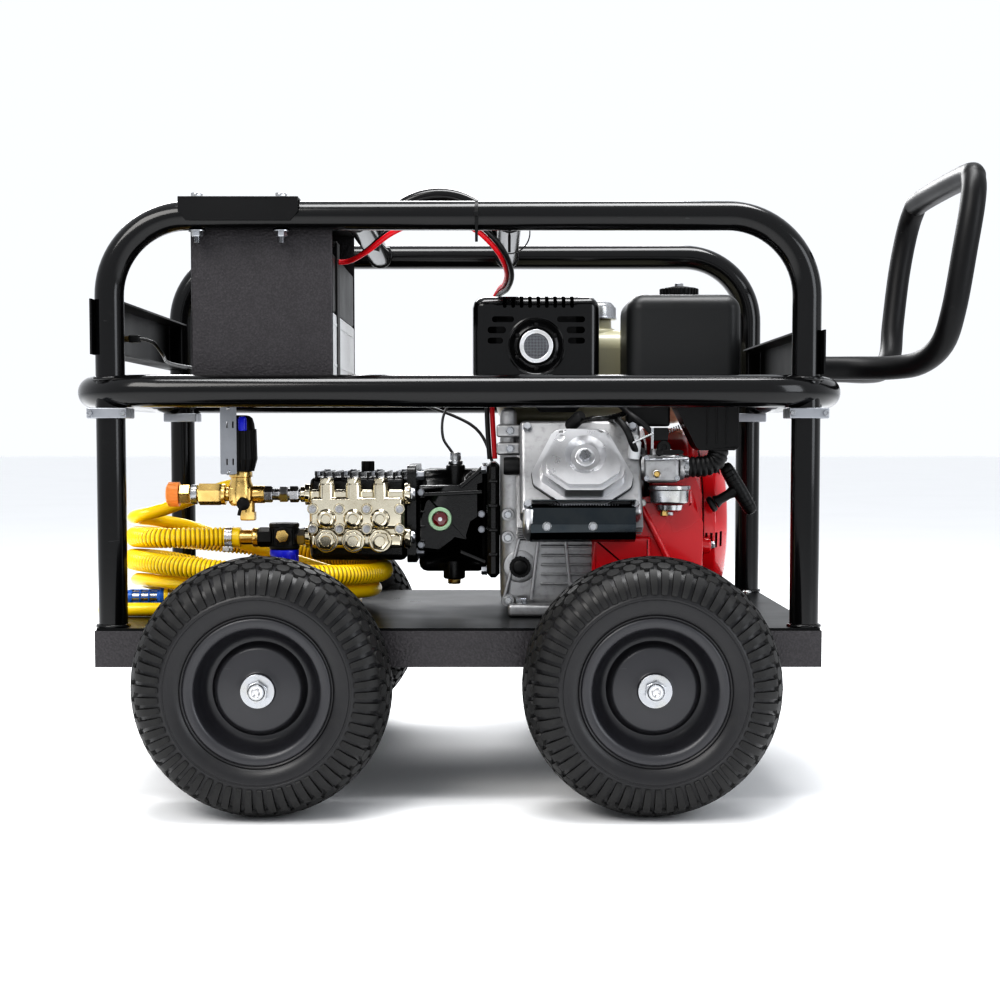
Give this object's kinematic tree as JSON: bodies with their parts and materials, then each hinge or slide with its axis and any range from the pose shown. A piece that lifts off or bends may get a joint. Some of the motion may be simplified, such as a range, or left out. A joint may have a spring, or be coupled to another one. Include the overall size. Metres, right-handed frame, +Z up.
{
  "type": "pressure washer",
  "caption": "Petrol pressure washer on a four-wheel trolley: tube roll frame and bumper, engine driving a plunger pump, battery box, push handle, hoses.",
  "frame": {"origin": "on the ground under the middle of the whole machine's box, hoses left out", "axes": "+X from the pump end to the push handle end, +Y from the engine's cylinder side to its fuel tank side, +Z up"},
  "size_m": [1.2349, 0.853, 0.8587],
  "materials": {
    "gloss_black_paint": "gloss black powder coat",
    "hammered_charcoal_paint": "hammered charcoal powder coat",
    "satin_black_paint": "satin black powder coat",
    "tyre_rubber": "moulded rubber",
    "cast_aluminium": "as cast",
    "bright_cover": "satin pressed cover",
    "dark_sheet": "dark polished sheet",
    "red_paint": "gloss red enamel",
    "black_plastic": "moulded, fine grain",
    "black_casting": "satin black painted casting",
    "beige_paint": "gloss enamel",
    "nickel_plate": "nickel plated forging",
    "brass": "machined",
    "zinc_plate": "bright zinc plate",
    "machined_steel": "ground",
    "battery_grey": "moulded case",
    "blue_plastic": "moulded",
    "red_plastic": "moulded",
    "orange_plastic": "moulded",
    "green_plastic": "moulded",
    "yellow_hose": "flexible PVC",
    "cable_sheath": "PVC insulation"
  },
  "bodies": {
    "trolley": {"base_frame": "hammered_charcoal_paint", "deck_plate": "satin_black_paint", "side_hoop_near": "gloss_black_paint", "side_hoop_far": "gloss_black_paint", "bumper_rail": "gloss_black_paint", "lifting_frame": "gloss_black_paint", "control_panel": "satin_black_paint", "end_panel": "satin_black_paint", "axle_left": "zinc_plate", "axle_right": "zinc_plate", "push_handle": "satin_black_paint", "battery_box": "hammered_charcoal_paint", "box_bracket": "satin_black_paint", "battery": "battery_grey", "battery_cables": "cable_sheath", "stop_switch_body": "black_plastic", "engine_block": "cast_aluminium", "valve_cover": "bright_cover", "heat_shield": "dark_sheet", "fan_cover": "red_paint", "recoil_cover": "red_paint", "muffler": "satin_black_paint", "muffler_guard": "gloss_black_paint", "air_cleaner_cover": "black_plastic", "air_cleaner_base": "black_plastic", "carburettor": "cast_aluminium", "fuel_tank": "beige_paint", "gearbox_housing": "black_casting", "adapter_flange": "black_casting", "sight_glass": "green_plastic", "pump_crankcase": "black_casting", "pump_head": "nickel_plate", "unloader_body": "brass", "outlet_cap": "orange_plastic", "inlet_filter": "black_plastic", "filter_bowl": "blue_plastic", "suction_hose": "yellow_hose", "bypass_hose": "yellow_hose", "suction_strainer": "blue_plastic", "bumper_clamp_near_left": "zinc_plate", "bumper_clamp_near_right": "zinc_plate", "bumper_clamp_far_left": "zinc_plate", "bumper_clamp_far_right": "zinc_plate"},
    "wheel_near_left": {"tyre_near_left": "tyre_rubber", "rim_near_left": "satin_black_paint"},
    "wheel_near_right": {"tyre_near_right": "tyre_rubber", "rim_near_right": "satin_black_paint"},
    "wheel_far_left": {"tyre_far_left": "tyre_rubber", "rim_far_left": "satin_black_paint"},
    "wheel_far_right": {"tyre_far_right": "tyre_rubber", "rim_far_right": "satin_black_paint"},
    "crank": {"crankshaft": "machined_steel"},
    "pump_drive": {"pump_shaft": "machined_steel"},
    "starter_grip": {"recoil_grip": "black_plastic"},
    "stop_push": {"stop_button": "red_plastic"},
    "fuel_cap_turn": {"fuel_cap": "zinc_plate"},
    "cleaner_knob": {"air_cleaner_knob": "black_plastic"},
    "choke": {"choke_lever": "black_plastic"},
    "pressure_knob": {"unloader_knob": "black_plastic"},
    "oil_plug": {"oil_filler_plug": "black_plastic"}
  },
  "joints": [
    {"name": "wheel_near_left_roll", "type": "hinge", "parent": "trolley", "child": "wheel_near_left", "pos_m": [-0.3476, -0.363, 0.165], "axis": [0, 1, 0], "continuous": true},
    {"name": "wheel_near_right_roll", "type": "hinge", "parent": "trolley", "child": "wheel_near_right", "pos_m": [0.1464, -0.363, 0.165], "axis": [0, 1, 0], "continuous": true},
    {"name": "wheel_far_left_roll", "type": "hinge", "parent": "trolley", "child": "wheel_far_left", "pos_m": [-0.3476, 0.363, 0.165], "axis": [0, 1, 0], "continuous": true},
    {"name": "wheel_far_right_roll", "type": "hinge", "parent": "trolley", "child": "wheel_far_right", "pos_m": [0.1464, 0.363, 0.165], "axis": [0, 1, 0], "continuous": true},
    {"name": "crankshaft_turn", "type": "hinge", "parent": "trolley", "child": "crank", "pos_m": [-0.1006, 0, 0.358], "axis": [1, 0, 0], "continuous": true},
    {"name": "pump_shaft_turn", "type": "hinge", "parent": "trolley", "child": "pump_drive", "pos_m": [-0.1006, 0.0638, 0.358], "axis": [1, 0, 0], "continuous": true},
    {"name": "recoil_pull", "type": "slide", "parent": "trolley", "child": "starter_grip", "axis": [0.05, -0.9955, 0.08], "range_m": [0, 0.6]},
    {"name": "stop_button_press", "type": "slide", "parent": "trolley", "child": "stop_push", "axis": [1, 0, 0], "range_m": [0, 0.003], "stiffness_N_per_m": 600, "springref_m": -0.001},
    {"name": "fuel_cap_turn", "type": "hinge", "parent": "trolley", "child": "fuel_cap_turn", "pos_m": [0.0984, 0.075, 0.656], "axis": [0, 0, 1], "range_deg": [0, 90]},
    {"name": "air_cleaner_knob_turn", "type": "hinge", "parent": "trolley", "child": "cleaner_knob", "pos_m": [0.2069, -0.09, 0.6763], "axis": [0, 0, 1], "range_deg": [0, 720]},
    {"name": "choke_lever_swing", "type": "hinge", "parent": "trolley", "child": "choke", "pos_m": [0.1714, -0.1853, 0.456], "axis": [0, 1, 0], "range_deg": [-50, 0]},
    {"name": "pressure_knob_turn", "type": "hinge", "parent": "trolley", "child": "pressure_knob", "pos_m": [-0.4136, -0.085, 0.439], "axis": [0, 0, 1], "range_deg": [0, 1080]},
    {"name": "oil_plug_turn", "type": "hinge", "parent": "trolley", "child": "oil_plug", "pos_m": [-0.0176, -0.125, 0.299], "axis": [0, -1, 0], "range_deg": [0, 720]}
  ],
  "couplings": [
    {"joint": "pump_shaft_turn", "follows": "crankshaft_turn", "ratio": -0.45}
  ]
}
